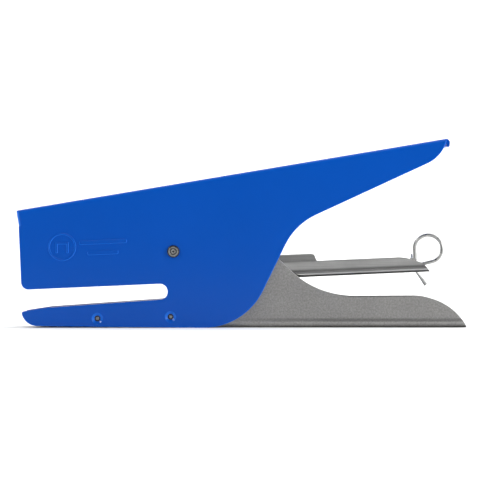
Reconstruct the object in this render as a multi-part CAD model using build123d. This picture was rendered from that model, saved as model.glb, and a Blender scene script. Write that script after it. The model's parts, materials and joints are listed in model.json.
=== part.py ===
"""Plier stapler: a folded steel body with a fixed lower jaw, a channel lever that drives the
hammer, and a magazine that swings on the same pivot. Millimetres, +Z up, mouth towards -X.

Every piece is laid out with the pivot axis at the origin and moved at the end, so that the
finished tool stands on Z = 0 with the centre of its footprint at the origin. The magazine and
what runs in it are laid out level and then tipped about the pivot."""

from build123d import *
from math import asin, atan, cos, degrees, pi, radians, sin, sqrt, tan
import os

# ---------------------------------------------------------------- driving sizes
BODY_WIDTH = 16.0  # over the outside of the folded body
BODY_SHEET = 1.0
LEVER_SHEET = 1.0
MAGAZINE_SHEET = 0.6
SIDE_GAP = 0.3  # between a moving channel and the one around it, each side
RUNNING_GAP = 0.06  # radial, moving part on its pin

TOP_RISE = 23.9  # body's top face above the pivot axis
TOP_SLOPE = 9.5  # degrees
HANDLE_REACH = 97.3  # pivot to the end of the body's side plates
LEVER_REACH = 104.5  # pivot to the lever's tail
MOUTH_REACH = 54.55  # pivot to the body's front edge, along the magazine
MOUTH_HEIGHT = 5.5  # at the throat
THROAT = 2.7  # pivot to the throat's end, along the magazine
JAW_DEPTH = 10.2  # throat to the surface that the tool stands on
JAW_TIP_HEIGHT = 5.7  # top of the jaw's tip above that surface
MAGAZINE_SLOPE = 2.5  # degrees, nose low
MAGAZINE_DEPTH = 11.2  # pivot to the underside of the magazine
MAGAZINE_HEIGHT = 5.5
MAGAZINE_TAIL = 91.1  # pivot to the magazine's rear tip
LEVER_TURN = 14.4  # degrees, open to squeezed
MAGAZINE_TURN = 8.1  # degrees, open to squeezed

# ---------------------------------------------------------------- bends and edges
BODY_BEND = 1.3
LEVER_BEND = 2.8
MAGAZINE_BEND = 1.9
CUT_EDGE = 0.2
PAINTED_EDGE = 0.32
LIP_LENGTH = 5.7
LIP_BEND = 0.8

# ---------------------------------------------------------------- pins and rivets
PIN_RADIUS = 1.5
PIN_HEAD_RIM = 0.7  # head's overhang round the pin
PIN_HEAD_HEIGHT = 0.75
BUSH_WALL = 0.64
WASHER_RIM = 2.1
RIVET_RADIUS = 1.0
RIVET_SEAT = 0.05  # radial, rivet in the side plates
DIMPLE_RIM = 1.05
DIMPLE_DEPTH = 0.6
SPRING_PIN_RADIUS = 1.25
SPRING_PIN_AT = (14.8, 4.8)
HAMMER_PIN_RADIUS = 1.25
DRIVER_RIVET_RADIUS = 0.9

# ---------------------------------------------------------------- driver and nose
DRIVER_THICKNESS = 0.6
DRIVER_GAP = 0.1
DRIVER_PASS = 0.08  # degrees that the driver passes the nose's underside when squeezed
NOSE_THICKNESS = 0.8
NOSE_SETBACK = 0.65  # nose plate behind the body's front edge
HAMMER_LENGTH = 18.4
HAMMER_HEADROOM = 3.22  # under the body's web
HAMMER_LANDING = 1.62  # degrees that the hammer stays above the bridge when squeezed
ARM_SETBACK = 1.5  # lever's arms behind the driver
WEB_GAP = 0.8  # lever's arms below the body's web

# ---------------------------------------------------------------- feed
STAPLE_ROOM = 0.7  # beside the core, for a staple's leg and the follower's side
STAPLE_HEADROOM = 0.8  # core's top below the rail's
CORE_SLOT = 1.9
ROD_RADIUS = 0.65
RING_RADIUS = 4.9  # to the middle of the wire
RING_RISE = 0.8  # ring's lowest point above the rod
FOLLOWER_LENGTH = 12.3
FOLLOWER_SHEET = 0.45
FOLLOWER_GAP = 0.1
SEAT_SETBACK = 6.3  # spring seat ahead of the magazine's rear tip
SEAT_SHEET = 0.6
FEED_SPRING_WIRE = 0.4

# ---------------------------------------------------------------- springs
RETURN_WIRE = 1.2
RETURN_GAP = 0.6  # between coil and bush
LEG_AT = 20.1  # where the coil's upper leg ends, behind the pivot
LIFT_MEAN = 1.6
LIFT_WIRE = 0.5
LIFT_SETBACK = 13.4  # spring behind the driver
LIFT_ROOF_WALL = 4.89  # hammer above the spring's pocket

# ---------------------------------------------------------------- anvil and badge
ANVIL_SHEET = 1.5
ANVIL_TOP = 0.25  # below the jaw's edges
CLINCH_SETBACK = 5.95  # clinch grooves behind the body's front edge
BADGE_RISE = 0.25
BADGE_SETBACK = 15.05  # its middle behind the body's front edge

# ---------------------------------------------------------------- worked out
BODY_HALF = BODY_WIDTH / 2
BODY_INNER = BODY_HALF - BODY_SHEET
LEVER_HALF = BODY_INNER - SIDE_GAP
LEVER_INNER = LEVER_HALF - LEVER_SHEET
MAGAZINE_HALF = LEVER_INNER - SIDE_GAP
MAGAZINE_INNER = MAGAZINE_HALF - MAGAZINE_SHEET
JOGGLE = 0.4  # flanges and ears are set in from the rail by this much
EAR_HALF = MAGAZINE_HALF - JOGGLE
EAR_INNER = EAR_HALF - MAGAZINE_SHEET
DRIVER_HALF = MAGAZINE_INNER - 0.2
RAIL_TOP = MAGAZINE_HEIGHT - MAGAZINE_DEPTH
RAIL_FLOOR = MAGAZINE_SHEET - MAGAZINE_DEPTH
FLANGE_TOP = RAIL_TOP + 2.7
FLANGE_END = 49.9
NOSE_OUT = MOUTH_REACH - NOSE_SETBACK
NOSE_IN = NOSE_OUT - NOSE_THICKNESS
NOSE_LOW = degrees(asin(MAGAZINE_DEPTH / NOSE_OUT))
NOSE_START = 14.0 - NOSE_OUT  # arcs about the pivot are cut ahead of this
DRIVER_OUT = NOSE_IN - DRIVER_GAP
DRIVER_IN = DRIVER_OUT - DRIVER_THICKNESS
FEED_END = DRIVER_IN - DRIVER_GAP
FOLLOWER_AT = -sqrt((FEED_END - 0.3) ** 2 - MAGAZINE_DEPTH**2)
CORE_HALF = MAGAZINE_INNER - STAPLE_ROOM
CORE_HEIGHT = MAGAZINE_HEIGHT - MAGAZINE_SHEET - STAPLE_HEADROOM
CORE_TOP = RAIL_FLOOR + CORE_HEIGHT
CORE_ROOM = (CORE_HEIGHT - MAGAZINE_SHEET) / 2
SEAT_AT = MAGAZINE_TAIL - SEAT_SETBACK
CORE_END = SEAT_AT - 1.2
FEED_SPRING_RADIUS = (CORE_ROOM + ROD_RADIUS + FEED_SPRING_WIRE) / 2  # midway, rod to core
ROD_LIFT = 0.43 * (CORE_ROOM - FEED_SPRING_RADIUS)  # rod above the middle of the core
ROD_DEPTH = -RAIL_FLOOR - CORE_ROOM - ROD_LIFT  # rod axis below the pivot, square to the magazine
RING_AT = (MAGAZINE_TAIL + 0.15, RING_RADIUS + RING_RISE - ROD_DEPTH)
TAIL_OFFSET = 2 * ROD_RADIUS + 0.15  # the wire's tail beside the rod
BRIDGE_TOP = RAIL_TOP + MAGAZINE_SHEET
BRIDGE_HALF = 3.0
LIFT_AT = LIFT_SETBACK - DRIVER_IN
BUSH_RADIUS = PIN_RADIUS + RUNNING_GAP + BUSH_WALL
RETURN_MEAN = BUSH_RADIUS + RETURN_GAP + RETURN_WIRE / 2
RETURN_PITCH = RETURN_WIRE + 0.05
RETURN_TURNS = int((2 * EAR_INNER - 0.4 - RETURN_WIRE) / RETURN_PITCH)
FAR = 200.0

TIPPED = Rot(0, -MAGAZINE_SLOPE, 0)


# ---------------------------------------------------------------- helpers
def outline(points):
    """A face in the XZ plane from corners (x, z, radius)."""
    corners = [(x, z) for x, z, _ in points]
    radii = [r for _, _, r in points]
    return Plane.XZ * make_face(FilletPolyline(*corners, radius=radii, close=True))


def slab(face, low, high):
    """The face, which lies in the XZ plane, as a solid from Y = low to Y = high."""
    return Pos(0, high, 0) * extrude(face, amount=high - low)


def both_sides(face, inner, outer):
    """Two plates from the same face, one on each side of the middle."""
    return slab(face, inner, outer) + slab(face, -outer, -inner)


def block(x0, x1, z0, z1, half):
    return Pos((x0 + x1) / 2, 0, (z0 + z1) / 2) * Box(x1 - x0, 2 * half, z1 - z0)


def bar(x, z, radius, half):
    """A round bar across the tool."""
    return Pos(x, 0, z) * Rot(90, 0, 0) * Cylinder(radius, 2 * half)


def rings(x, z, inner, outer, low, high):
    """A washer on each side of the middle."""
    return both_sides(Plane.XZ * Pos(x, z) * (Circle(outer) - Circle(inner)), low, high)


def polar(radius, angle):
    """A point at a radius from the pivot, at degrees below the forward horizontal."""
    return -radius * cos(radians(angle)), -radius * sin(radians(angle))


def sector(inner, outer, start, end, half):
    """Part of a ring about the pivot between two angles below the forward horizontal."""
    wedge = [(0, 0, 0), (*polar(2 * outer, start), 0), (*polar(2 * outer, end), 0)]
    return slab(outline(wedge) & Plane.XZ * (Circle(outer) - Circle(inner)), -half, half)


def top_line(x, below=0.0):
    """Height at x of the line that runs this far below the body's top face."""
    return TOP_RISE + x * tan(radians(TOP_SLOPE)) - below / cos(radians(TOP_SLOPE))


def tipped(u, v):
    """A point given along and square to the magazine, in the body's axes."""
    a = radians(MAGAZINE_SLOPE)
    return u * cos(a) - v * sin(a), u * sin(a) + v * cos(a)


def ease(solid, half, radius):
    """Round the edges of the two flat sides."""
    return fillet([e for e in solid.edges() if abs(abs(e.center().Y) - half) < 0.01], radius)


def folded(x, z, direction, half, radius):
    """A wide block under a straight fold: its top runs through (x, z) at direction degrees."""
    solid = Pos(0, 0, -FAR) * Box(4 * FAR, 2 * half, 2 * FAR)
    solid = fillet(solid.edges().filter_by(Axis.X).group_by(Axis.Z)[-1], radius)
    return Pos(x, 0, z) * Rot(0, -direction, 0) * solid


# ---------------------------------------------------------------- places worked out
JAW_CLEAR = MAGAZINE_DEPTH + 0.1
THROAT_TOP = tipped(-THROAT, -JAW_CLEAR)
THROAT_FOOT = tipped(-THROAT, -JAW_CLEAR - MOUTH_HEIGHT)
BASE = THROAT_FOOT[1] - JAW_DEPTH
JAW_TIP = (0.45 - MOUTH_REACH, BASE + JAW_TIP_HEIGHT)
JAW_BEND = (JAW_TIP[0] + 9.4, JAW_TIP[1] + 1.46)
JAW_RIVETS = ((-27.0, BASE + 3.3), (-1.0, BASE + 3.9))
SQUEEZE_LEFT = MAGAZINE_SLOPE + MAGAZINE_TURN - LEVER_TURN  # degrees, magazine less lever
HAMMER_TOP = -degrees(asin((top_line(-DRIVER_IN, BODY_SHEET) - HAMMER_HEADROOM) / DRIVER_IN))
HAMMER_FOOT = degrees(atan(BRIDGE_TOP / (LIFT_AT - BRIDGE_HALF))) + SQUEEZE_LEFT - HAMMER_LANDING
DRIVER_TIP = NOSE_LOW + SQUEEZE_LEFT + DRIVER_PASS
DRIVER_RIVET_AT = HAMMER_TOP + 4.5
LIFT_ROOF = -LIFT_AT * tan(radians(MAGAZINE_SLOPE - HAMMER_TOP)) - LIFT_ROOF_WALL
HAMMER_PIN_AT = (HAMMER_TOP - degrees(atan(-LIFT_ROOF / LIFT_AT)) + MAGAZINE_SLOPE) / 2


# ---------------------------------------------------------------- body
def lip_foot():
    """Where the front lip ends, on the body's front edge."""
    a, t = radians(MAGAZINE_SLOPE), radians(TOP_SLOPE)
    rise, run = sin(a) - cos(a) * tan(t), cos(a) + sin(a) * tan(t)
    v = (TOP_RISE + MOUTH_REACH * rise - LIP_LENGTH / cos(t)) / run
    return tipped(-MOUTH_REACH, v)


def lip_corner():
    x, z = lip_foot()
    t = radians(TOP_SLOPE)
    return x - LIP_LENGTH * sin(t), z + LIP_LENGTH * cos(t)


def body_outline():
    tip_x, tip_z = JAW_TIP
    return [
        (*lip_corner(), LIP_BEND),
        (*lip_foot(), 0),
        (*tipped(-MOUTH_REACH, -JAW_CLEAR), 2.6),
        (*THROAT_TOP, MOUTH_HEIGHT / 2 - 0.05),
        (*THROAT_FOOT, MOUTH_HEIGHT / 2 - 0.08),
        (*JAW_BEND, 20.0),
        (tip_x, tip_z, 0.8),
        (tip_x + 1.4, BASE + 0.68, 5.6),
        (9.5, BASE, 0),
        (25.4, BASE, 23.4),
        (43.3, 9.6, 22.7),
        (HANDLE_REACH - 2.0, top_line(HANDLE_REACH) - 6.6, 12.0),
        (HANDLE_REACH, top_line(HANDLE_REACH), 0),
    ]


def badge():
    """Raised ring with a staple in it and two plain bars beside it, on the near side."""
    cx, cz = BADGE_SETBACK - MOUTH_REACH, 1.6
    ring = Pos(cx, cz) * (Circle(5.0) - Circle(4.3))
    staple = Pos(cx, cz + 1.3) * Rectangle(4.6, 0.8)
    legs = [Pos(cx + s * 1.9, cz - 0.4) * Rectangle(0.8, 3.6) for s in (-1, 1)]
    bars = [
        Pos(cx + 14.5, z) * Rot(0, 0, MAGAZINE_SLOPE) * RectangleRounded(w, 1.5, 0.5)
        for z, w in ((3.4, 17.0), (-0.4, 11.0))
    ]
    shapes = (ring, staple, *legs, *bars)
    raised = Part() + [extrude(Plane.XZ * f, amount=0.3 + BADGE_RISE) for f in shapes]
    rims = [e for e in raised.edges() if e.center().Y < -0.3 - BADGE_RISE + 0.01]
    return Pos(0, 0.3 - BODY_HALF, 0) * chamfer(rims, BADGE_RISE * 0.7)


def body_shell():
    foot_x, foot_z = lip_foot()
    t = radians(TOP_SLOPE)
    skin = slab(outline(body_outline()), -BODY_HALF, BODY_HALF)
    skin = ease(skin, BODY_HALF, PAINTED_EDGE)
    skin &= folded(0, TOP_RISE, TOP_SLOPE, BODY_HALF, BODY_BEND)
    above_foot = block(-FAR, FAR, foot_z, FAR, BODY_HALF + 1)
    skin -= above_foot - folded(foot_x, foot_z, TOP_SLOPE + 90, BODY_HALF, BODY_BEND)

    inner_x, inner_z = foot_x + BODY_SHEET * cos(t), foot_z + BODY_SHEET * sin(t)
    bend = BODY_BEND - BODY_SHEET
    under_web = folded(0, top_line(0, BODY_SHEET), TOP_SLOPE, BODY_INNER, bend)
    behind_lip = folded(inner_x, inner_z, TOP_SLOPE + 90, BODY_INNER, bend)
    below_foot = block(-FAR, FAR, -FAR, foot_z, BODY_INNER)
    shell = skin - (under_web & behind_lip) - (under_web & below_foot)

    # the web runs on past the side plates and curls down
    end = HANDLE_REACH
    tongue = outline(
        [
            (end - 3.0, top_line(end - 3.0), 0),
            (end + 1.2, top_line(end + 1.2), 1.4),
            (end + 0.9, top_line(end + 0.9, 3.0), 0.4),
            (end - 0.1, top_line(end - 0.1, 3.0), 0.4),
            (end + 0.1, top_line(end + 0.1, BODY_SHEET), 0.5),
            (end - 3.0, top_line(end - 3.0, BODY_SHEET), 0),
        ]
    )
    shell += slab(tongue, -BODY_HALF + BODY_BEND, BODY_HALF - BODY_BEND)
    shell += badge()

    shell -= bar(0, 0, PIN_RADIUS, FAR)
    dimple = RIVET_RADIUS + DIMPLE_RIM
    for x, z in JAW_RIVETS:
        shell -= bar(x, z, RIVET_RADIUS + RIVET_SEAT, FAR)
        for side in (-1, 1):
            cone = Cone(dimple, RIVET_RADIUS + RIVET_SEAT, DIMPLE_DEPTH)
            shell -= Pos(x, side * (BODY_HALF - DIMPLE_DEPTH / 2), z) * Rot(side * 90, 0, 0) * cone
    rims = [
        e
        for e in shell.edges().filter_by(GeomType.CIRCLE)
        if abs(e.radius - dimple) < 0.01 and abs(abs(e.center().Y) - BODY_HALF) < 0.01
    ]
    return fillet(rims, 0.3)


def anvil():
    """Channel in the jaw, open below, with its top just under the jaw's edges."""
    tip_x, tip_z = JAW_TIP
    bend_x, bend_z = JAW_BEND
    throat_x, throat_z = THROAT_FOOT
    rear = 1.2
    face = outline(
        [
            (tip_x + 0.9, tip_z - ANVIL_TOP, 0.5),
            (bend_x, bend_z - ANVIL_TOP, 20.0),
            (throat_x - 1.5, throat_z - ANVIL_TOP, 1.0),
            (rear, throat_z - ANVIL_TOP - 1.3, 1.0),
            (rear, BASE + 1.0, 1.5),
            (-32.0, BASE + 1.2, 2.0),
            (-37.0, tip_z - 1.6, 2.0),
            (tip_x + 1.6, tip_z - 3.2, 1.0),
        ]
    )
    solid = slab(face, -BODY_INNER, BODY_INNER)
    under = ANVIL_TOP + ANVIL_SHEET
    hollow = outline(
        [
            (bend_x - FAR, bend_z - under - 0.16 * FAR, 0),
            (bend_x, bend_z - under, 10.0),
            (bend_x + FAR, bend_z - under + 0.07 * FAR, 0),
            (bend_x + FAR, BASE - FAR, 0),
            (bend_x - FAR, BASE - FAR, 0),
        ]
    )
    solid -= slab(hollow, -BODY_INNER + ANVIL_SHEET, BODY_INNER - ANVIL_SHEET)
    # clinch grooves turn the staple's legs inwards
    for side in (-1, 1):
        groove = Pos(CLINCH_SETBACK - MOUTH_REACH, side * (CORE_HALF - 1.1), tip_z + 1.75)
        solid -= groove * Rot(0, -9, 0) * Box(1.6, 4.0, 2.2)
    for x, z in JAW_RIVETS:
        solid -= bar(x, z, RIVET_RADIUS, FAR)
    return solid


def jaw_rivets():
    solids = []
    for x, z in JAW_RIVETS:
        stub = bar(x, z, RIVET_RADIUS - 0.35, BODY_HALF - 0.5)
        stub = chamfer(stub.edges().filter_by(GeomType.CIRCLE), 0.15)
        solids.append(bar(x, z, RIVET_RADIUS, BODY_INNER - 0.4) + stub)
    return Compound(children=solids)


def pivot_pin():
    pin = bar(0, 0, PIN_RADIUS, BODY_HALF)
    for side in (-1, 1):
        head = Cylinder(PIN_RADIUS + PIN_HEAD_RIM, PIN_HEAD_HEIGHT)
        head = fillet(head.edges().group_by(Axis.Z)[-1], 0.55)
        head -= Pos(0, 0, PIN_HEAD_HEIGHT / 2) * (Torus(PIN_RADIUS * 0.7, 0.2) + Sphere(0.4))
        head = Rot(side * 90, 0, 0) * head
        pin += Pos(0, -side * (BODY_HALF + PIN_HEAD_HEIGHT / 2), 0) * head
    return pin


def pivot_bush():
    half = EAR_INNER - 0.1
    return bar(0, 0, BUSH_RADIUS, half) - bar(0, 0, PIN_RADIUS + RUNNING_GAP, half + 1)


def outer_washers():
    bore, rim = PIN_RADIUS + RUNNING_GAP, PIN_RADIUS + WASHER_RIM
    return rings(0, 0, bore, rim, LEVER_HALF + 0.05, BODY_INNER - 0.05)


def inner_washers():
    bore, rim = PIN_RADIUS + RUNNING_GAP, PIN_RADIUS + WASHER_RIM
    return rings(0, 0, bore, rim, EAR_HALF + 0.1, LEVER_INNER - 0.1)


def return_spring():
    """Coil on the bush, one leg under the body's web, the other on the spring pin."""
    px, pz = SPRING_PIN_AT
    web_z = top_line(LEG_AT, BODY_SHEET + RETURN_WIRE / 2 + 0.05)
    web_reach, pin_reach = sqrt(LEG_AT**2 + web_z**2), sqrt(px**2 + pz**2)
    away = SPRING_PIN_RADIUS + RETURN_WIRE / 2 + 0.05
    # one leg comes down behind the coil, the other leaves under it and runs over the pin
    start = degrees(asin(web_z / web_reach) + pi / 2 - asin(RETURN_MEAN / web_reach))
    rise = asin(pz / pin_reach) + asin((RETURN_MEAN + away) / pin_reach)
    turns = RETURN_TURNS - 1 + ((degrees(rise) - 90 - start) % 360) / 360
    height = turns * RETURN_PITCH
    helix = Helix(RETURN_PITCH, height, RETURN_MEAN)
    coil = Pos(0, height / 2, 0) * Rot(90, 0, 0) * Rot(0, 0, start) * helix
    climb = RETURN_PITCH / (2 * pi * RETURN_MEAN)
    web_leg = sqrt(web_reach**2 - RETURN_MEAN**2)
    pin_leg = sqrt(pin_reach**2 - (RETURN_MEAN + away) ** 2) + 2.5
    first, last = coil @ 0, coil @ 1
    web_end = (LEG_AT, first.Y + web_leg * climb, web_z)
    pin_end = last + Vector(cos(rise), -climb, sin(rise)) * pin_leg
    path = Wire([Line(web_end, first), *coil.edges(), Line(last, pin_end)])
    return sweep(Plane(origin=path @ 0, z_dir=path % 0) * Circle(RETURN_WIRE / 2), path=path)


# ---------------------------------------------------------------- lever
def lever_outline():
    arm_tip = ARM_SETBACK - DRIVER_IN
    below_top = BODY_SHEET + WEB_GAP
    slope = radians(43.5)
    knee_x, knee_z = 51.7, BASE + 10.93
    rise = 19.6 - knee_z
    return [
        (arm_tip - 0.4, top_line(arm_tip - 0.4, below_top), 1.5),
        (arm_tip, polar(DRIVER_IN, HAMMER_TOP + 8.72)[1], 2.5),
        (-5.0, -4.6, 4.0),
        (3.6, -9.0, 4.0),
        (3.6, BASE + 8.1, 4.0),
        (11.0, BASE, 2.0),
        (LEVER_REACH, BASE, 0),
        (LEVER_REACH - 6.2, BASE + 11.2, 20.4),
        (knee_x, knee_z, 33.4),
        (knee_x - rise / tan(slope), knee_z + rise, 6.0),
        (-6.0, top_line(-6.0, below_top), 4.0),
    ]


def handle_lever():
    solid = slab(outline(lever_outline()), -LEVER_HALF, LEVER_HALF)
    solid = ease(solid, LEVER_HALF, CUT_EDGE)
    solid &= folded(0, BASE, 180, LEVER_HALF, LEVER_BEND)
    solid -= folded(0, BASE + LEVER_SHEET, 180, LEVER_INNER, LEVER_BEND - LEVER_SHEET)
    solid -= bar(0, 0, PIN_RADIUS + RUNNING_GAP, FAR)
    solid -= bar(*SPRING_PIN_AT, SPRING_PIN_RADIUS, FAR)
    for x, z in hammer_pin_places():
        solid -= bar(x, z, HAMMER_PIN_RADIUS, FAR)
    return solid


def hammer_pin_places():
    """Midway between the spring's pocket and the hammer's top."""
    return [polar(DRIVER_IN - setback, HAMMER_PIN_AT) for setback in (8.0, 14.4)]


def hammer_block():
    back = DRIVER_IN - HAMMER_LENGTH
    solid = sector(back, DRIVER_IN, HAMMER_TOP, HAMMER_FOOT, LEVER_INNER - 0.1)
    solid = fillet(solid.edges().filter_by(Axis.Y).sort_by(Axis.X)[-2:], 0.8)
    for x, z in hammer_pin_places():
        solid -= bar(x, z, HAMMER_PIN_RADIUS, FAR)
    pocket = Pos(LIFT_AT, 0, LIFT_ROOF - 5.0) * Cylinder(LIFT_MEAN + LIFT_WIRE / 2 + 0.35, 10.0)
    solid -= TIPPED * pocket
    for place in driver_rivet_places():
        solid -= place * Cylinder(DRIVER_RIVET_RADIUS, 8.0)
    return solid


def driver_rivet_places():
    """Frames on the driver's face, with +Z pointing out along the radius."""
    x, z = polar(DRIVER_OUT, DRIVER_RIVET_AT)
    across = DRIVER_HALF - 1.8
    return [Pos(x, y, z) * Rot(0, -90 - DRIVER_RIVET_AT, 0) for y in (-across, across)]


def driver_blade():
    blade = sector(DRIVER_IN, DRIVER_OUT, HAMMER_TOP + 1.0, DRIVER_TIP, DRIVER_HALF)
    for place in driver_rivet_places():
        blade -= place * Cylinder(DRIVER_RIVET_RADIUS, 8.0)
    return blade


def driver_rivets():
    solids = []
    for place in driver_rivet_places():
        rivet = Pos(0, 0, -1.9) * Cylinder(DRIVER_RIVET_RADIUS, 4.0)
        head = Pos(0, 0, 0.28) * Cylinder(1.5, 0.5)
        solids.append(place * (rivet + fillet(head.edges().sort_by(Axis.Z)[-1], 0.3)))
    return Compound(children=solids)


def hammer_pins():
    half = LEVER_HALF - 0.1
    return Compound(children=[bar(x, z, HAMMER_PIN_RADIUS, half) for x, z in hammer_pin_places()])


def spring_pin():
    pin = bar(*SPRING_PIN_AT, SPRING_PIN_RADIUS, LEVER_HALF - 0.05)
    return chamfer(pin.edges().filter_by(GeomType.CIRCLE), 0.25)


def lift_spring():
    """Compression spring between the magazine's bridge and the hammer's pocket."""
    low, high = BRIDGE_TOP + LIFT_WIRE / 2 + 0.03, LIFT_ROOF - LIFT_WIRE / 2 - 0.2
    path = Helix((high - low) / 5, high - low, LIFT_MEAN)
    coil = sweep(Plane(origin=path @ 0, z_dir=path % 0) * Circle(LIFT_WIRE / 2), path=path)
    return TIPPED * Pos(LIFT_AT, 0, low) * coil


# ---------------------------------------------------------------- magazine
def magazine_channel():
    tail = MAGAZINE_TAIL
    rail = outline(
        [
            (-NOSE_OUT - 1, RAIL_TOP, 0),
            (-NOSE_OUT - 1, -MAGAZINE_DEPTH, 0),
            (tail, -MAGAZINE_DEPTH, 0),
            (tail - 2.4, RAIL_TOP - 2.3, 5.0),
            (tail - 8.8, RAIL_TOP, 9.0),
        ]
    )
    solid = slab(rail, -MAGAZINE_HALF, MAGAZINE_HALF)
    solid &= folded(0, -MAGAZINE_DEPTH, 180, MAGAZINE_HALF, MAGAZINE_BEND)
    solid -= folded(0, RAIL_FLOOR, 180, MAGAZINE_INNER, MAGAZINE_BEND - MAGAZINE_SHEET)

    ears = outline(
        [
            (-8.0, RAIL_TOP + 0.4, 0),
            (-4.2, 4.2, 4.0),
            (4.6, 4.2, 4.0),
            (9.0, FLANGE_TOP, 4.0),
            (FLANGE_END, FLANGE_TOP, 1.2),
            (FLANGE_END + 0.8, RAIL_TOP + 0.4, 0),
        ]
    )
    solid += both_sides(ears, EAR_INNER, EAR_HALF)
    reach = (-8.0, FLANGE_END + 0.9)
    for inner, low, high in ((EAR_INNER, 0.0, 0.45), (MAGAZINE_INNER, -0.6, 0.0)):
        for side in (-1, 1):
            step = block(*reach, RAIL_TOP + low, RAIL_TOP + high, (MAGAZINE_HALF - inner) / 2)
            solid += Pos(0, side * (MAGAZINE_HALF + inner) / 2, 0) * step

    # the nose follows an arc about the pivot, and the floor stops short of the driver
    ahead = block(-FAR, NOSE_START, -FAR, FAR, FAR)
    solid -= ahead - bar(0, 0, NOSE_OUT, FAR)
    solid -= block(-FAR, NOSE_START, -FAR, FAR, MAGAZINE_INNER) - bar(0, 0, FEED_END, FAR)
    solid -= block(tail - 5.7, FAR, -FAR, RAIL_FLOOR + 0.1, 2.5)
    solid -= bar(0, 0, PIN_RADIUS + RUNNING_GAP, FAR)
    return TIPPED * solid


def staple_core():
    solid = block(-FEED_END, CORE_END, RAIL_FLOOR, CORE_TOP, CORE_HALF)
    top = [e for e in solid.edges() if e.center().Z > CORE_TOP - 0.1 and abs(e.center().Y) > 1]
    solid = fillet(top, 0.5)
    solid -= block(-FAR, FAR, RAIL_FLOOR - 1, CORE_TOP - MAGAZINE_SHEET, CORE_HALF - MAGAZINE_SHEET)
    solid -= block(FOLLOWER_AT + 1.6, FAR, RAIL_FLOOR, FAR, CORE_SLOT / 2)
    solid &= folded(0, RAIL_FLOOR, 180, MAGAZINE_INNER, MAGAZINE_BEND - MAGAZINE_SHEET)
    solid -= block(-FAR, NOSE_START, -FAR, FAR, FAR) - bar(0, 0, FEED_END, FAR)
    return TIPPED * solid


def nose_plate():
    plate = sector(NOSE_IN, NOSE_OUT, NOSE_LOW - 8.2, NOSE_LOW - 0.1, MAGAZINE_INNER)
    return TIPPED * plate


def spring_bridge():
    top = block(LIFT_AT - BRIDGE_HALF, LIFT_AT + BRIDGE_HALF, RAIL_TOP, BRIDGE_TOP, MAGAZINE_HALF)
    return TIPPED * fillet(top.edges().filter_by(Axis.Z), 1.0)


# ---------------------------------------------------------------- feed rod and follower
def feed_rod():
    cx, cz = RING_AT
    front = FOLLOWER_AT + 1.0
    points = [(cx - 5.2, 0, -ROD_DEPTH), (cx - 2.6, 0, -ROD_DEPTH + 0.25)]
    for k in range(10):
        a = radians(-90 + 30 * k)
        points.append((cx + RING_RADIUS * cos(a), TAIL_OFFSET * k / 9, cz + RING_RADIUS * sin(a)))
    left = cx - RING_RADIUS
    tail = ((left + 0.15, cz - 2.4), (left, cz - 4.6), (left + 0.7, cz - 8.2), (left + 3.55, cz - 13.0))
    points += [(u, TAIL_OFFSET, v) for u, v in tail]
    path = Wire([
        Line((front, 0, -ROD_DEPTH), points[0]),
        Spline(*points, tangents=[(1, 0, 0), (0.62, 0, -1)]),
    ])
    rod = sweep(Plane(origin=path @ 0, z_dir=path % 0) * Circle(ROD_RADIUS), path=path)
    rod += Pos(front + 0.3, 0, -ROD_DEPTH) * Rot(0, 90, 0) * Cylinder(FEED_SPRING_RADIUS - 0.15, 0.8)
    return TIPPED * rod


def spring_seat():
    """Plate across the rail that stops the feed spring, with a pointed tab at its top."""
    half = MAGAZINE_INNER - 0.25
    foot, shoulder = RAIL_FLOOR + 0.3, RAIL_TOP - 0.4
    right = [(half, foot), (half, shoulder), (1.8, RAIL_TOP - 0.2), (0.4, RAIL_TOP + 1.1)]
    left = [(-y, z) for y, z in reversed(right)]
    face = Plane.YZ * make_face(Polyline(*right, *left, close=True))
    plate = Pos(SEAT_AT, 0, 0) * extrude(face, amount=SEAT_SHEET)
    low = [e for e in plate.edges().filter_by(Axis.X) if e.center().Z < RAIL_FLOOR + 1]
    bore = Pos(SEAT_AT, 0, -ROD_DEPTH) * Rot(0, 90, 0) * Cylinder(ROD_RADIUS, 10)
    return TIPPED * (fillet(low, 1.3) - bore)


def follower_spring():
    start = FOLLOWER_AT + FOLLOWER_LENGTH - 2.0
    span = SEAT_AT - start - 0.1
    sleeve = Cylinder(FEED_SPRING_RADIUS, span)
    sleeve -= Cylinder(FEED_SPRING_RADIUS - FEED_SPRING_WIRE, span + 1)
    return TIPPED * Pos(start + span / 2 + 0.05, 0, -ROD_DEPTH) * Rot(0, 90, 0) * sleeve


def staple_follower():
    inner = CORE_HALF + FOLLOWER_GAP
    outer = inner + FOLLOWER_SHEET
    top = CORE_TOP + FOLLOWER_GAP
    solid = block(FOLLOWER_AT, FOLLOWER_AT + FOLLOWER_LENGTH, RAIL_FLOOR + 1.5, top + 0.5, outer)
    ridge = [e for e in solid.edges().filter_by(Axis.X) if e.center().Z > top]
    solid = fillet(ridge, 0.8)
    solid -= block(-FAR, FAR, -FAR, top, inner)
    return TIPPED * solid


def follower_block():
    front, back = FOLLOWER_AT + 2.2, FOLLOWER_AT + FOLLOWER_LENGTH - 2.1
    roof, half = CORE_TOP - MAGAZINE_SHEET - 0.2, CORE_HALF - MAGAZINE_SHEET - 0.3
    solid = block(front, back, RAIL_FLOOR + 0.3, roof, half)
    solid += block(front + 1, back - 1, -ROD_DEPTH, CORE_TOP + FOLLOWER_GAP, CORE_SLOT / 2 - 0.25)
    bore = Rot(0, 90, 0) * Cylinder(ROD_RADIUS + RUNNING_GAP, 60)
    solid -= Pos(front, 0, -ROD_DEPTH) * bore
    return TIPPED * solid


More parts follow.
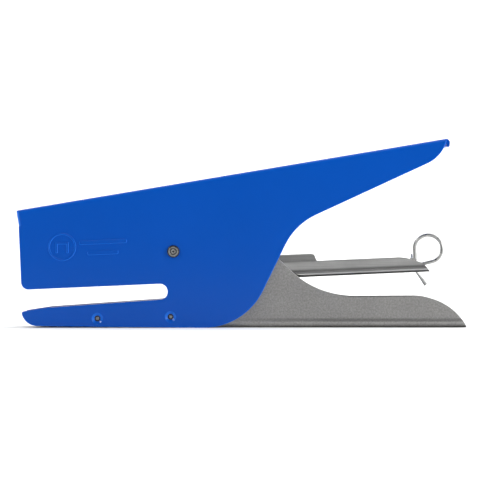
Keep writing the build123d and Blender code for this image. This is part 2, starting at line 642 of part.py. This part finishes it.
# ---------------------------------------------------------------- all pieces
PIECES = {
    "body_shell": body_shell,
    "anvil": anvil,
    "jaw_rivets": jaw_rivets,
    "pivot_pin": pivot_pin,
    "pivot_bush": pivot_bush,
    "outer_washers": outer_washers,
    "return_spring": return_spring,
    "handle_lever": handle_lever,
    "inner_washers": inner_washers,
    "hammer_block": hammer_block,
    "hammer_pins": hammer_pins,
    "driver_blade": driver_blade,
    "driver_rivets": driver_rivets,
    "spring_pin": spring_pin,
    "lift_spring": lift_spring,
    "magazine_channel": magazine_channel,
    "staple_core": staple_core,
    "nose_plate": nose_plate,
    "spring_bridge": spring_bridge,
    "feed_rod": feed_rod,
    "spring_seat": spring_seat,
    "follower_spring": follower_spring,
    "staple_follower": staple_follower,
    "follower_block": follower_block,
}

if __name__ == "__main__":
    os.makedirs("parts", exist_ok=True)
    middle = (LEVER_REACH + lip_corner()[0]) / 2
    for name, make in PIECES.items():
        solid = Pos(-middle, 0, -BASE) * make()
        print(name, round(solid.volume, 1), solid.is_valid, solid.bounding_box())
        export_step(solid, f"parts/{name}.step")
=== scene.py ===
"""Plier stapler: materials, springs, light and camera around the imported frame."""

import json
import math

import bpy
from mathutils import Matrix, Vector


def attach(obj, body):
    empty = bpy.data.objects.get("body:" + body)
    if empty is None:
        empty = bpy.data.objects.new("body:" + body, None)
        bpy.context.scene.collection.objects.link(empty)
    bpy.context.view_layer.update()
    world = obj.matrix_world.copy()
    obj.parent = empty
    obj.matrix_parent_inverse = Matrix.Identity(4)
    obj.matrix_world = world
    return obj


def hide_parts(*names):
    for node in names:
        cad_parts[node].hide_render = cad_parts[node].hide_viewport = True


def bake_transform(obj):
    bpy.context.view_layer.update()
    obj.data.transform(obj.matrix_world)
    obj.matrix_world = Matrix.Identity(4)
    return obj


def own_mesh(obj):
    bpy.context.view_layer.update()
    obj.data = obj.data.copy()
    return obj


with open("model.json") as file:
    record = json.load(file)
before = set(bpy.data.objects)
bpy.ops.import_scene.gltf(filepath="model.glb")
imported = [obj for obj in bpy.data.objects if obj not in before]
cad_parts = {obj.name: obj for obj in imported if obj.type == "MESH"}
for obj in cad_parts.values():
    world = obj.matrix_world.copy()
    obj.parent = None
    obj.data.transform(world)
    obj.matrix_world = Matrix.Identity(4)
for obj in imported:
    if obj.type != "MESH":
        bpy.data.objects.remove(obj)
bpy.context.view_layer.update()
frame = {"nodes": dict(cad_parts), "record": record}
NODES = frame["nodes"]

MM = 0.001
SLOPE = math.radians(2.5)  # magazine, nose low
JOINTS = {j["name"]: j for j in frame["record"]["behaviour"]["joints"]}
PIVOT = Vector(JOINTS["lever_squeeze"]["pos_m"])
ALONG = Vector((math.cos(SLOPE), 0, math.sin(SLOPE)))
SQUARE = Vector((-math.sin(SLOPE), 0, math.cos(SLOPE)))


def on_magazine(u, v, y=0.0):
    """A point along and square to the magazine from the pivot, in millimetres."""
    return PIVOT + (ALONG * u + SQUARE * v + Vector((0, y, 0))) * MM


# ------------------------------------------------------------------ material kit
def result(node):
    """The socket that carries a node's colour or number."""
    if node.bl_idname == "ShaderNodeMix":
        return node.outputs[2]
    if node.bl_idname == "ShaderNodeVectorMath":
        return node.outputs["Value"]
    return node.outputs[0]


class Graph:
    """A material's node tree, with short calls for the nodes used here."""

    def __init__(self, name):
        self.material = bpy.data.materials.new(name)
        self.material.use_nodes = True
        self.tree = self.material.node_tree
        self.tree.nodes.clear()
        self.shader = self.node("ShaderNodeBsdfPrincipled")
        out = self.node("ShaderNodeOutputMaterial")
        self.link(self.shader, "BSDF", out, "Surface")
        self.place = self.node("ShaderNodeTexCoord")

    def node(self, kind, **settings):
        made = self.tree.nodes.new(kind)
        for key, value in settings.items():
            setattr(made, key, value)
        return made

    def link(self, a, out, b, into):
        self.tree.links.new(a.outputs[out], b.inputs[into])

    def feed(self, source, b, into):
        self.tree.links.new(result(source), b.inputs[into])

    def set(self, **values):
        for key, value in values.items():
            self.shader.inputs[key.replace("_", " ")].default_value = value

    def stretched(self, x, y, z):
        """Object coordinates scaled per axis, in cycles per metre."""
        m = self.node("ShaderNodeMapping")
        self.link(self.place, "Object", m, "Vector")
        m.inputs["Scale"].default_value = (x, y, z)
        return m

    def noise(self, x, y, z, detail=4.0, rough=0.55):
        m = self.stretched(x, y, z)
        n = self.node("ShaderNodeTexNoise")
        self.link(m, "Vector", n, "Vector")
        n.inputs["Scale"].default_value = 1.0
        n.inputs["Detail"].default_value = detail
        n.inputs["Roughness"].default_value = rough
        return n

    def ramp(self, source, stops):
        """Colours at given places along a source that runs from 0 to 1."""
        r = self.node("ShaderNodeValToRGB")
        self.feed(source, r, "Fac")
        while len(r.color_ramp.elements) < len(stops):
            r.color_ramp.elements.new(0.5)
        for element, (at, colour) in zip(r.color_ramp.elements, stops):
            element.position = at
            element.color = (*colour, 1.0)
        return r

    def grey(self, source, lo, hi, a, b):
        """A number that runs from lo to hi as the source runs from a to b."""
        m = self.node("ShaderNodeMapRange")
        self.feed(source, m, "Value")
        m.inputs["From Min"].default_value = a
        m.inputs["From Max"].default_value = b
        m.inputs["To Min"].default_value = lo
        m.inputs["To Max"].default_value = hi
        return m

    def mix(self, fac, a, b, blend="MIX"):
        """Two colours joined; each argument is a node, a number or a colour."""
        m = self.node("ShaderNodeMix", data_type="RGBA", blend_type=blend)
        for value, socket in ((fac, 0), (a, 6), (b, 7)):
            if isinstance(value, float):
                m.inputs[socket].default_value = value
            elif isinstance(value, tuple):
                m.inputs[socket].default_value = (*value, 1.0)
            else:
                self.feed(value, m, socket)
        return m

    def bump(self, source, distance, strength, before=None):
        b = self.node("ShaderNodeBump")
        b.inputs["Strength"].default_value = strength
        b.inputs["Distance"].default_value = distance
        self.feed(source, b, "Height")
        if before:
            self.link(before, "Normal", b, "Normal")
        return b

    def along(self, axis, origin=(0, 0, 0)):
        """How far a point lies along an axis, in metres from the origin."""
        shift = self.node("ShaderNodeVectorMath", operation="SUBTRACT")
        self.link(self.place, "Object", shift, "Vector")
        shift.inputs[1].default_value = tuple(origin)
        dot = self.node("ShaderNodeVectorMath", operation="DOT_PRODUCT")
        self.link(shift, "Vector", dot, "Vector")
        dot.inputs[1].default_value = tuple(axis)
        return dot

    def from_axis(self, centre):
        """Distance from a cross pin's axis, in metres."""
        shift = self.node("ShaderNodeVectorMath", operation="SUBTRACT")
        self.link(self.place, "Object", shift, "Vector")
        shift.inputs[1].default_value = tuple(centre)
        flat = self.node("ShaderNodeVectorMath", operation="MULTIPLY")
        self.link(shift, "Vector", flat, "Vector")
        flat.inputs[1].default_value = (1, 0, 1)
        length = self.node("ShaderNodeVectorMath", operation="LENGTH")
        self.link(flat, "Vector", length, "Vector")
        return length

    def facing(self, axis):
        """How far the surface normal leans along an axis, -1 to 1."""
        geometry = self.node("ShaderNodeNewGeometry")
        dot = self.node("ShaderNodeVectorMath", operation="DOT_PRODUCT")
        self.link(geometry, "Normal", dot, "Vector")
        dot.inputs[1].default_value = axis
        return dot

    def tilted(self):
        """1 where the surface turns away from the tool's flat sides."""
        sideways = self.node("ShaderNodeMath", operation="ABSOLUTE")
        self.feed(self.facing((0, 1, 0)), sideways, "Value")
        return self.grey(sideways, 1.0, 0.0, 0.85, 0.97)

    def product(self, *factors):
        whole = factors[0]
        for factor in factors[1:]:
            m = self.node("ShaderNodeMath", operation="MULTIPLY")
            self.feed(whole, m, 0)
            self.feed(factor, m, 1)
            whole = m
        return whole

    def profile(self, source, low, high, stops):
        """Grey shades against a distance that runs from low to high."""
        span = self.grey(source, 0.0, 1.0, low, high)
        return self.ramp(span, [(at, (tone,) * 3) for at, tone in stops])

    def tint(self, a, b):
        """Two colours multiplied."""
        return self.mix(1.0, a, b, "MULTIPLY")

    def colour(self, source):
        self.feed(source, self.shader, "Base Color")

    def roughness(self, source):
        self.feed(source, self.shader, "Roughness")


def blue_paint():
    """Satin enamel: orange peel, uneven gloss, dust nibs, and a painted highlight that lightens
    tilted edges except those facing up.
    """
    g = Graph("blue_paint")
    broad = g.noise(18, 18, 18, 3.0)
    fine = g.noise(2600, 2600, 2600, 2.0)
    peel = g.noise(520, 520, 520, 2.0)
    nibs = g.noise(1500, 1500, 1500, 0.0)
    tone = g.ramp(broad, [(0.3, (0.0012, 0.068, 0.39)), (0.7, (0.0018, 0.075, 0.43))])
    # painted highlight: edges, dimple walls and badge slopes lightened where they face sideways or
    # down
    painted_edge_highlight = g.product(g.tilted(), g.grey(g.facing((0, 0, 1)), 0.55, 0.0, 0.15, 0.5))
    g.colour(g.mix(painted_edge_highlight, tone, (0.02, 0.21, 0.86)))
    g.roughness(g.grey(fine, 0.17, 0.24, 0.3, 0.7))
    nib = g.grey(nibs, 0.0, 1.0, 0.76, 0.82)
    bump = g.bump(nib, 0.00003, 0.5)
    bump = g.bump(peel, 0.00002, 0.5, bump)
    g.link(bump, "Normal", g.shader, "Normal")
    g.set(Coat_Weight=0.05, Coat_Roughness=0.05, Specular_IOR_Level=0.14)
    return g.material


def bare_steel():
    """Cold-rolled sheet: mottled grain, painted shade and painted highlight lines across the lower
    fold, and a painted highlight on up-facing cut edges towards the front.
    """
    g = Graph("bare_steel")
    grain = g.noise(1500, 1500, 1500, 4.0, 0.8)
    cloud = g.noise(60, 60, 110, 4.0)
    lines = g.noise(60, 3000, 3000, 2.0)
    tone = g.ramp(grain, [(0.3, (0.225, 0.221, 0.214)), (0.7, (0.44, 0.434, 0.423))])
    tone = g.tint(tone, g.ramp(cloud, [(0.3, (0.88, 0.88, 0.88)), (0.7, (1.0, 1.0, 1.0))]))
    z = g.along((0, 0, 1))
    x = g.along((1, 0, 0))
    # painted shade and highlight by height: dark bottom edge, a light band, a dark line near 2.5
    # mm, weaker towards -X
    fold = [(0.0, 0.60), (0.12, 0.72), (0.22, 0.95), (0.35, 1.08), (0.42, 0.80), (0.50, 0.52),
            (0.60, 0.62), (0.72, 0.97), (1.0, 1.0)]
    painted_fold_shade = g.profile(z, 0.0, 5 * MM, fold)
    rear = g.grey(x, 0.25, 1.0, -5 * MM, 30 * MM)
    faded_fold_shade = g.mix(rear, (1.0, 1.0, 1.0), painted_fold_shade)
    upward = g.grey(g.facing((0, 0, 1)), 0.0, 0.9, 0.25, 0.45)
    forward = g.grey(x, 1.0, 0.0, 18 * MM, 32 * MM)
    # painted highlight: tilted edges facing up are lightened, only towards the front
    painted_rim_highlight = g.product(g.tilted(), upward, forward)
    g.colour(g.mix(painted_rim_highlight, g.tint(tone, faded_fold_shade), (0.88, 0.87, 0.84)))
    g.roughness(g.grey(grain, 0.38, 0.60, 0.3, 0.7))
    bump = g.bump(grain, 0.00003, 0.6)
    bump = g.bump(lines, 0.00001, 0.3, bump)
    g.link(bump, "Normal", g.shader, "Normal")
    g.set(Metallic=0.85)
    return g.material


def brushed(name, low, high, rough, along=(40, 2600, 2600), bump=0.5, painted_shading=None, edge=1.0):
    """Steel with drawn lines, finer or coarser, in one direction or in none, optionally tinted
    with painted shade and highlight.
    """
    g = Graph(name)
    lines = g.noise(*along, 5.0, 0.7)
    cloud = g.noise(120, 120, 120, 3.0)
    tone = g.ramp(lines, [(0.25, (low, low, low * 0.985)), (0.75, (high, high, high * 0.985))])
    tone = g.tint(tone, g.ramp(cloud, [(0.3, (0.86, 0.86, 0.86)), (0.7, (1.0, 1.0, 1.0))]))
    # painted light and shade multiplied into the tone
    if painted_shading:
        tone = g.tint(tone, painted_shading(g))
    g.colour(tone)
    g.roughness(g.grey(lines, rough - 0.07, rough + 0.1, 0.3, 0.7))
    g.link(g.bump(lines, 0.000015, bump), "Normal", g.shader, "Normal")
    g.set(Metallic=1.0, Specular_Tint=(edge, edge, edge, 1.0))
    return g.material


def rail_painted_shade(g):
    """Painted shade and highlight: set-in flanges painted duller than the rail, and a painted dark
    and light line along the lower fold.
    """
    v = g.along(SQUARE, PIVOT)
    # painted shade on the lower band and flanges, painted highlight lines at the fold and flange
    # top
    stops = [(0.0, 0.30), (0.07, 0.36), (0.10, 0.95), (0.125, 0.95), (0.16, 0.30), (0.27, 0.38),
             (0.36, 0.95), (0.56, 1.0), (0.64, 0.90), (0.66, 0.62), (0.78, 0.66), (0.93, 0.60),
             (0.96, 0.95), (1.0, 1.0)]
    return g.profile(v, -11.2 * MM, -2.8 * MM, stops)


def spun_rings_painted_light(g):
    """Rings from spinning the pin's head over, painted as highlight and shade bands, with a
    painted shadow at the rim.
    """
    r = g.from_axis(PIVOT)
    stops = [(0.0, 0.10), (0.12, 0.20), (0.22, 1.2), (0.34, 1.0), (0.42, 0.22), (0.52, 0.30),
             (0.64, 1.0), (0.76, 0.70), (0.84, 0.15), (1.0, 0.03)]
    return g.profile(r, 0.0, 2.2 * MM, stops)


def painted_hole_shade(g):
    """A rivet painted dark down its hole as painted shade, and left greyer at its ends."""
    y = g.along((0, 1, 0))
    hole_shade_stops = [(0.0, 1.0), (0.03, 0.9), (0.06, 0.2), (0.94, 0.2), (0.97, 0.9), (1.0, 1.0)]
    return g.profile(y, -7.5 * MM, 7.5 * MM, hole_shade_stops)


PAINT = blue_paint()
BARE = bare_steel()
RAIL = brushed("rail_steel", 0.40, 0.62, 0.33, painted_shading=rail_painted_shade)
WIRE = brushed("zinc_wire", 0.38, 0.50, 0.30, (900, 900, 900), edge=0.25)
HARD = brushed("hard_steel", 0.03, 0.07, 0.38, (2200, 300, 300))
PIN = brushed("pin_steel", 0.26, 0.50, 0.30, (1500, 1500, 1500), 0.8)
HEAD = brushed("head_steel", 0.30, 0.60, 0.28, (1500, 1500, 1500), 0.8, spun_rings_painted_light)
RIVET = brushed("rivet_steel", 0.22, 0.40, 0.36, (1800, 1800, 1800), 0.8, painted_hole_shade)

LOOKS = {
    "body_shell": PAINT, "anvil": HARD, "jaw_rivets": RIVET, "pivot_pin": HEAD, "pivot_bush": PIN,
    "outer_washers": PIN, "handle_lever": BARE, "inner_washers": PIN, "hammer_block": HARD,
    "hammer_pins": PIN, "driver_blade": HARD, "driver_rivets": PIN, "spring_pin": PIN,
    "magazine_channel": RAIL, "staple_core": RAIL, "nose_plate": HARD, "spring_bridge": RAIL,
    "feed_rod": WIRE, "spring_seat": RAIL, "staple_follower": RAIL, "follower_block": RAIL,
    "return_spring": WIRE, "lift_spring": WIRE, "follower_spring": WIRE,
}
for name, obj in NODES.items():
    obj.data.materials.clear()
    obj.data.materials.append(LOOKS[name])
    for polygon in obj.data.polygons:
        polygon.material_index = 0


# ------------------------------------------------------------------ springs
ROD_LEVEL = -8.7  # the feed rod, below the pivot and square to the magazine
LIFT_AT = -39.0  # the magazine spring, ahead of the pivot
LEG_STEPS = 12


def tube(name, points, radius, sides):
    """A closed round tube along the points."""
    mesh = bpy.data.meshes.new(name)
    verts, faces = [], []
    normal = None
    for i, p in enumerate(points):
        ahead = points[min(i + 1, len(points) - 1)] - points[max(i - 1, 0)]
        ahead.normalize()
        if normal is None:
            normal = ahead.orthogonal().normalized()
        normal = (normal - ahead * normal.dot(ahead)).normalized()
        other = ahead.cross(normal)
        for k in range(sides):
            a = 2 * math.pi * k / sides
            verts.append(p + (normal * math.cos(a) + other * math.sin(a)) * radius)
        if i:
            low = (i - 1) * sides
            for k in range(sides):
                n = (k + 1) % sides
                faces.append((low + k, low + n, low + sides + n, low + sides + k))
    faces.append(tuple(reversed(range(sides))))
    last = (len(points) - 1) * sides
    faces.append(tuple(range(last, last + sides)))
    mesh.from_pydata([tuple(v) for v in verts], [], faces)
    mesh.update()
    for polygon in mesh.polygons[:-2]:
        polygon.use_smooth = True
    obj = bpy.data.objects.new(name, mesh)
    bpy.context.scene.collection.objects.link(obj)
    obj.data.materials.append(WIRE)
    return obj


def feed_spring():
    """Long coil on the feed rod, close-wound for a few turns at each end."""
    low, high = -38.8, 84.1
    mean, wire, pitch, closed_pitch, closed = 1.15, 0.22, 2.3, 0.48, 1.6
    points = []
    u, angle = low + wire, 0.0
    steps = 14
    while u < high - wire:
        end = min(u - low, high - u)
        rise = closed_pitch if end < closed else pitch
        points.append(on_magazine(u, ROD_LEVEL + mean * math.cos(angle), mean * math.sin(angle)))
        angle += 2 * math.pi / steps
        u += rise / steps
    return tube("feed_spring", points, wire * MM, 8)


def return_coil():
    """Torsion spring: one leg under the body's web, the coil on the bush, one leg over the pin."""
    mean, wire, pitch, turns, turn_steps = 3.4, 0.6, 1.25, 5, 26
    over_pin, past_pin = 1.9, 2.5
    web = Vector((20.1, 25.57))
    pin = Vector((14.8, 4.8))
    start = math.atan2(web.y, web.x) + math.acos(mean / web.length)
    rise = math.atan2(pin.y, pin.x) + math.asin((mean + over_pin) / pin.length)
    finish = rise - math.pi / 2
    sweep_angle = (turns - 1) * 2 * math.pi + (finish - start) % (2 * math.pi)
    height = sweep_angle / (2 * math.pi) * pitch
    climb = pitch / (2 * math.pi * mean)
    web_leg = math.sqrt(web.length ** 2 - mean ** 2)
    pin_leg = math.sqrt(pin.length ** 2 - (mean + over_pin) ** 2) + past_pin
    path = []
    for k in range(LEG_STEPS + 1):
        t = 1 - k / LEG_STEPS
        x = mean * math.cos(start) + web_leg * t * math.sin(start)
        z = mean * math.sin(start) - web_leg * t * math.cos(start)
        path.append((x, height / 2 + web_leg * climb * t, z))
    steps = turn_steps * turns
    for k in range(1, steps):
        a = start + sweep_angle * k / steps
        path.append((mean * math.cos(a), height / 2 - height * k / steps, mean * math.sin(a)))
    for k in range(LEG_STEPS + 1):
        t = k / LEG_STEPS
        x = mean * math.cos(finish) + pin_leg * t * math.cos(rise)
        z = mean * math.sin(finish) + pin_leg * t * math.sin(rise)
        path.append((x, -height / 2 - pin_leg * climb * t, z))
    return tube("return_coil", [PIVOT + Vector(p) * MM for p in path], wire * MM, 12)


def lift_coil():
    """Short compression spring between the bridge and the hammer's pocket."""
    low, high, mean, wire, turns, turn_steps = -4.82, 4.95, 1.6, 0.25, 5, 24
    points = []
    for k in range(turns * turn_steps + 1):
        a = 2 * math.pi * k / turn_steps
        v = low + (high - low) * k / (turns * turn_steps)
        points.append(on_magazine(LIFT_AT + mean * math.cos(a), v, mean * math.sin(a)))
    return tube("lift_coil", points, wire * MM, 10)


spring = feed_spring()
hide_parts("follower_spring")
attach(spring, "rod")
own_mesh(spring)

lift = lift_coil()
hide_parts("lift_spring")
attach(lift, "magazine")
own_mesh(lift)

coil = return_coil()
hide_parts("return_spring")
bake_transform(coil)


# ------------------------------------------------------------------ floor, light, camera
def pale_floor():
    """Matt off-white with a barely uneven tone."""
    g = Graph("pale_floor")
    speck = g.noise(40, 40, 40, 2.0)
    g.colour(g.ramp(speck, [(0.3, (0.92 * 0.995,) * 3), (0.7, (0.92,) * 3)]))
    g.set(Roughness=0.9)
    return g.material


def sweep_floor():
    """Pale sheet that lies under the tool and curves up behind it."""
    front, bend_at, bend, height, half_width, steps = -1.6, 0.45, 0.35, 2.2, 2.2, 12
    profile = [(front, 0.0), (bend_at, 0.0)]
    for k in range(1, steps + 1):
        a = math.radians(90 * k / steps)
        profile.append((bend_at + bend * math.sin(a), bend - bend * math.cos(a)))
    profile.append((bend_at + bend, height))
    verts, faces = [], []
    for y, z in profile:
        verts += [(-half_width, y, z), (half_width, y, z)]
    for i in range(len(profile) - 1):
        faces.append((2 * i, 2 * i + 1, 2 * i + 3, 2 * i + 2))
    mesh = bpy.data.meshes.new("floor")
    mesh.from_pydata(verts, [], faces)
    for polygon in mesh.polygons:
        polygon.use_smooth = True
    obj = bpy.data.objects.new("floor", mesh)
    bpy.context.scene.collection.objects.link(obj)
    obj.data.materials.append(pale_floor())


def area(name, at, toward, size, power):
    """A rectangular lamp, in metres and watts."""
    data = bpy.data.lights.new(name, "AREA")
    data.shape = "RECTANGLE"
    data.size, data.size_y = size
    data.energy = power
    obj = bpy.data.objects.new(name, data)
    bpy.context.scene.collection.objects.link(obj)
    obj.location = at
    obj.rotation_euler = (Vector(toward) - Vector(at)).to_track_quat("-Z", "Y").to_euler()


sweep_floor()
area("key", (0.90, -0.42, 0.30), (0, 0, 0.03), (0.22, 0.22), 6.4)
area("left", (-0.72, -0.42, 0.62), (0, 0, 0.03), (0.22, 0.22), 4.0)
area("rim", (0.75, 0.10, 0.80), (0, 0, 0.03), (0.3, 0.3), 4.0)
area("top", (0.1, 0.05, 1.0), (0, 0, 0), (0.9, 0.6), 2.6)
area("back", (0.0, 0.55, 0.9), (0, 0.75, 0.2), (1.2, 0.4), 5.0)


def studio_world():
    """Soft white room, dimmer towards the viewer, so that flat faces don't turn milky."""
    world = bpy.data.worlds.new("studio")
    bpy.context.scene.world = world
    world.use_nodes = True
    tree = world.node_tree
    back = tree.nodes["Background"]
    back.inputs["Color"].default_value = (1, 1, 1, 1)
    place = tree.nodes.new("ShaderNodeTexCoord")
    split = tree.nodes.new("ShaderNodeSeparateXYZ")
    tree.links.new(place.outputs["Generated"], split.inputs[0])
    span = tree.nodes.new("ShaderNodeMapRange")
    tree.links.new(split.outputs["Y"], span.inputs["Value"])
    for key, value in (("From Min", -0.95), ("From Max", -0.2), ("To Min", 0.03), ("To Max", 0.5)):
        span.inputs[key].default_value = value
    tree.links.new(span.outputs[0], back.inputs["Strength"])


studio_world()
bpy.context.scene.view_settings.view_transform = "Standard"

FRAME_WIDTH = 0.1704  # width of the view at the tool's near side
NEAR_SIDE = -0.008
LENS = 150.0
SENSOR = 36.0
camera_data = bpy.data.cameras.new("camera")
camera_data.sensor_width = SENSOR
camera_data.lens = LENS
camera_data.clip_end = 20
camera = bpy.data.objects.new("camera", camera_data)
bpy.context.scene.collection.objects.link(camera)
camera.location = (-0.00063, NEAR_SIDE - FRAME_WIDTH * LENS / SENSOR, 0.03117)
camera.rotation_euler = (math.radians(90), 0, 0)
bpy.context.scene.camera = camera
